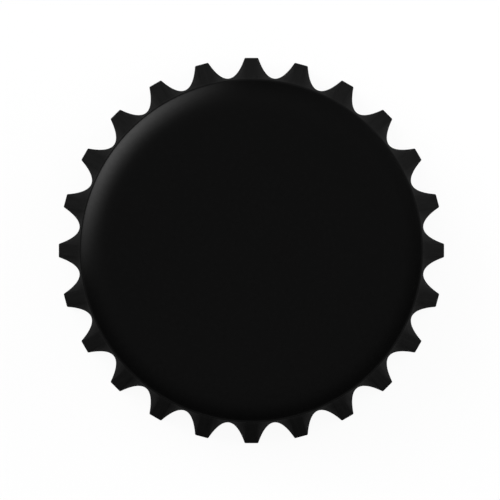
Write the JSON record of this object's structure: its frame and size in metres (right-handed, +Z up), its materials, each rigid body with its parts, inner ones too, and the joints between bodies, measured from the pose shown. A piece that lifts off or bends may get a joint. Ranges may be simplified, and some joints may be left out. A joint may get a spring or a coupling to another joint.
{
  "type": "bottle cap",
  "caption": "Toothed black bottle cap: pressed sheet-steel shell with a rounded shoulder and fluted skirt, and a moulded sealing liner inside.",
  "frame": {"origin": "centre of the plane of the skirt's cut edge, on which the cap stands", "axes": "+Z up through the middle of the panel, +X through the middle of one tooth, +Y through the middle of another"},
  "size_m": [0.032, 0.032, 0.006],
  "materials": {
    "black_lacquered_steel": "satin black lacquer on tinplate",
    "liner_compound": "smooth moulded, slightly waxy"
  },
  "bodies": {
    "root": {"cap_shell": "black_lacquered_steel", "seal_liner": "liner_compound"}
  },
  "joints": []
}
